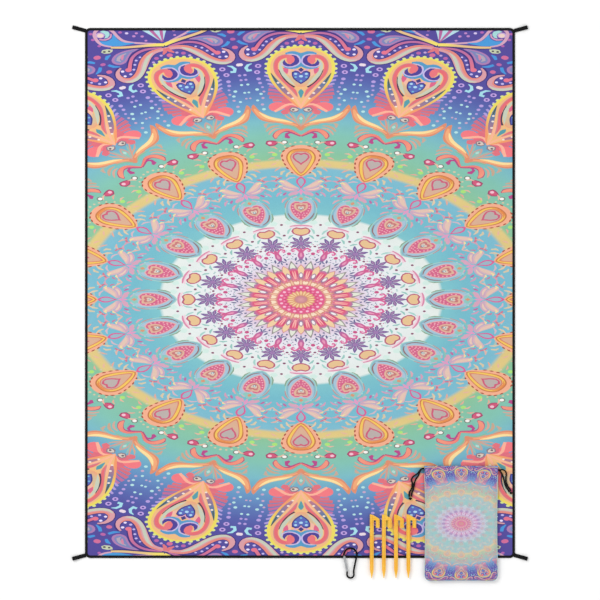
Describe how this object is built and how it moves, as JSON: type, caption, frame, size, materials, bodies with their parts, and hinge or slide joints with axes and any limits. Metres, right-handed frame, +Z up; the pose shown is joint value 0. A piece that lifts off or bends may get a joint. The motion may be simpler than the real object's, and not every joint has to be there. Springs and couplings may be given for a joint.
{
  "type": "camp blanket",
  "caption": "Printed picnic and beach blanket with a bound edge, webbing corner loops, hook-headed stakes, a carabiner and a drawstring carry bag.",
  "frame": {"origin": "centre of the blanket's underside, on the floor that it lies on", "axes": "+Z up; +Y along the blanket's length, towards the end without the bag; +X to the side where the bag lies"},
  "size_m": [1.5494, 1.8865, 0.0226],
  "materials": {
    "printed_cloth": "printed polyester, fine plain weave, slight sheen",
    "wadding": "soft white wadding",
    "waterproof_backing": "coated dark cloth, satin",
    "black_tape": "black woven tape",
    "yellow_plastic": "moulded amber yellow plastic, semi-gloss",
    "black_enamel": "black enamelled aluminium",
    "bright_steel": "plain bright metal",
    "bag_cloth": "printed light polyester, washed-out print",
    "drawcord": "black braided cord"
  },
  "bodies": {
    "blanket": {"face_cloth_main": "printed_cloth", "wadding_main": "wadding", "backing_main": "waterproof_backing", "edge_binding_main": "black_tape"},
    "fold_flap": {"face_cloth_flap": "printed_cloth", "wadding_flap": "wadding", "backing_flap": "waterproof_backing", "edge_binding_flap": "black_tape"},
    "loop_top_left": {"corner_loop_top_left": "black_tape"},
    "loop_top_right": {"corner_loop_top_right": "black_tape"},
    "loop_bottom_left": {"corner_loop_bottom_left": "black_tape"},
    "loop_bottom_right": {"corner_loop_bottom_right": "black_tape"},
    "peg_1": {"stake_1": "yellow_plastic"},
    "peg_2": {"stake_2": "yellow_plastic"},
    "peg_3": {"stake_3": "yellow_plastic"},
    "peg_4": {"stake_4": "yellow_plastic"},
    "carabiner": {"carabiner_body": "black_enamel", "gate_pivot_pin": "bright_steel"},
    "gate": {"carabiner_gate": "bright_steel", "gate_plunger": "bright_steel", "gate_spring": "bright_steel"},
    "bag": {"bag_front_panel": "bag_cloth", "bag_back_panel": "bag_cloth", "bag_side_seam": "bag_cloth", "bag_front_casing": "bag_cloth", "bag_back_casing": "bag_cloth"},
    "left_drawcord": {"left_strand_front": "drawcord", "left_strand_back": "drawcord", "left_tail_front": "drawcord", "left_tail_back": "drawcord", "left_slip_knot": "drawcord", "left_end_knot": "drawcord", "left_run_front": "drawcord", "left_run_back": "drawcord"},
    "right_drawcord": {"right_strand_front": "drawcord", "right_strand_back": "drawcord", "right_tail_front": "drawcord", "right_tail_back": "drawcord", "right_slip_knot": "drawcord", "right_end_knot": "drawcord", "right_run_front": "drawcord", "right_run_back": "drawcord"}
  },
  "joints": [
    {"name": "blanket_fold", "type": "hinge", "parent": "blanket", "child": "fold_flap", "pos_m": [0, 0.3, 0.005], "axis": [1, 0, 0], "range_deg": [0, 180]},
    {"name": "top_left_loop_flex", "type": "hinge", "parent": "fold_flap", "child": "loop_top_left", "pos_m": [-0.73116, 0.89131, 0.0048], "axis": [0.2588, 0.9659, 0], "range_deg": [0, 90]},
    {"name": "top_right_loop_flex", "type": "hinge", "parent": "fold_flap", "child": "loop_top_right", "pos_m": [0.73116, 0.89131, 0.0048], "axis": [0.2588, -0.9659, 0], "range_deg": [0, 90]},
    {"name": "bottom_left_loop_flex", "type": "hinge", "parent": "blanket", "child": "loop_bottom_left", "pos_m": [-0.73116, -0.89131, 0.0048], "axis": [-0.2588, 0.9659, 0], "range_deg": [0, 90]},
    {"name": "bottom_right_loop_flex", "type": "hinge", "parent": "blanket", "child": "loop_bottom_right", "pos_m": [0.73116, -0.89131, 0.0048], "axis": [-0.2588, -0.9659, 0], "range_deg": [0, 90]},
    {"name": "peg_1_lift", "type": "slide", "parent": "blanket", "child": "peg_1", "axis": [0, 0, 1], "range_m": [0, 0.3]},
    {"name": "peg_2_lift", "type": "slide", "parent": "blanket", "child": "peg_2", "axis": [0, 0, 1], "range_m": [0, 0.3]},
    {"name": "peg_3_lift", "type": "slide", "parent": "blanket", "child": "peg_3", "axis": [0, 0, 1], "range_m": [0, 0.3]},
    {"name": "peg_4_lift", "type": "slide", "parent": "blanket", "child": "peg_4", "axis": [0, 0, 1], "range_m": [0, 0.3]},
    {"name": "carabiner_lift", "type": "slide", "parent": "blanket", "child": "carabiner", "axis": [0, 0, 1], "range_m": [0, 0.3]},
    {"name": "gate_swing", "type": "hinge", "parent": "carabiner", "child": "gate", "pos_m": [0.16, -0.9413, 0.0081], "axis": [0, 0, -1], "range_deg": [0, 28], "stiffness_Nm_per_rad": 0.05, "springref_deg": -11.46},
    {"name": "bag_lift", "type": "slide", "parent": "blanket", "child": "bag", "axis": [0, 0, 1], "range_m": [0, 0.3]},
    {"name": "left_drawcord_pull", "type": "slide", "parent": "bag", "child": "left_drawcord", "axis": [-1, 0, 0], "range_m": [0, 0.18]},
    {"name": "right_drawcord_pull", "type": "slide", "parent": "bag", "child": "right_drawcord", "axis": [1, 0, 0], "range_m": [0, 0.18]}
  ]
}
